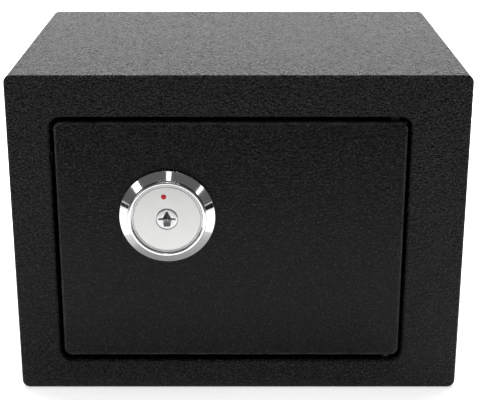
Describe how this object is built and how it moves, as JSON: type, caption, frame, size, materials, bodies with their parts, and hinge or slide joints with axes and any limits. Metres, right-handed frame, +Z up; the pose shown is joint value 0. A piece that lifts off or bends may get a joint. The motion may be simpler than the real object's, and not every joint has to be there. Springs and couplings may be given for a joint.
{
  "type": "safe",
  "caption": "Small black steel box safe with a flush front door on a side hinge, a round cross-key lock on the door and sliding round bolts.",
  "frame": {"origin": "middle of the cabinet's underside, on the surface it stands on", "axes": "+X to the viewer's right along the front, +Y from the door to the back, +Z up"},
  "size_m": [0.23, 0.1757, 0.17],
  "materials": {
    "powder_coat": "hammered black powder coat on steel sheet",
    "zinc_steel": "bright zinc plated steel",
    "bolt_steel": "ground bright steel",
    "black_steel": "blackened steel",
    "spring_steel": "drawn spring wire",
    "lock_chrome": "polished chrome plate",
    "lock_satin": "satin nickel plate",
    "lock_brass": "machined brass",
    "red_enamel": "red enamel fill",
    "felt": "dark grey needle felt"
  },
  "bodies": {
    "cabinet": {"cabinet_wrap": "powder_coat", "back_panel": "powder_coat", "front_frame": "powder_coat", "floor_mat": "felt", "upper_hinge_bracket": "powder_coat", "lower_hinge_bracket": "powder_coat", "upper_hinge_pin": "black_steel", "lower_hinge_pin": "black_steel", "hinge_spacers": "black_steel", "hinge_clips": "black_steel"},
    "door": {"door_plate": "powder_coat", "upper_hinge_lug": "powder_coat", "lower_hinge_lug": "powder_coat", "mechanism_box": "powder_coat", "mechanism_cover": "powder_coat", "cover_screws": "zinc_steel", "carriage_guides": "zinc_steel", "guide_washers": "zinc_steel", "guide_clips": "zinc_steel", "lock_bezel": "lock_chrome", "lock_housing": "zinc_steel", "lock_cylinder": "lock_brass", "lock_face": "lock_satin", "index_dot": "red_enamel", "lock_fixing_nut": "zinc_steel", "driver_pins": "lock_brass", "pin_springs": "spring_steel"},
    "bolt_work": {"carriage_plate": "zinc_steel", "upper_bolt": "bolt_steel", "lower_bolt": "bolt_steel", "bolt_screws": "zinc_steel"},
    "key_plug": {"lock_plug": "lock_satin", "key_pins": "lock_brass", "crank": "zinc_steel", "crank_pin": "zinc_steel", "crank_screw": "zinc_steel"}
  },
  "joints": [
    {"name": "door_hinge", "type": "hinge", "parent": "cabinet", "child": "door", "pos_m": [0.0779, -0.0785, 0.0825], "axis": [0, 0, 1], "range_deg": [0, 95]},
    {"name": "key_turn", "type": "hinge", "parent": "door", "child": "key_plug", "pos_m": [-0.036, -0.077, 0.0973], "axis": [0, -1, 0], "range_deg": [0, 90]},
    {"name": "bolt_throw", "type": "slide", "parent": "door", "child": "bolt_work", "axis": [-1, 0, 0], "range_m": [0, 0.015]}
  ],
  "couplings": [
    {"joint": "key_turn", "follows": "bolt_throw", "rad_per_m": 104.72}
  ]
}
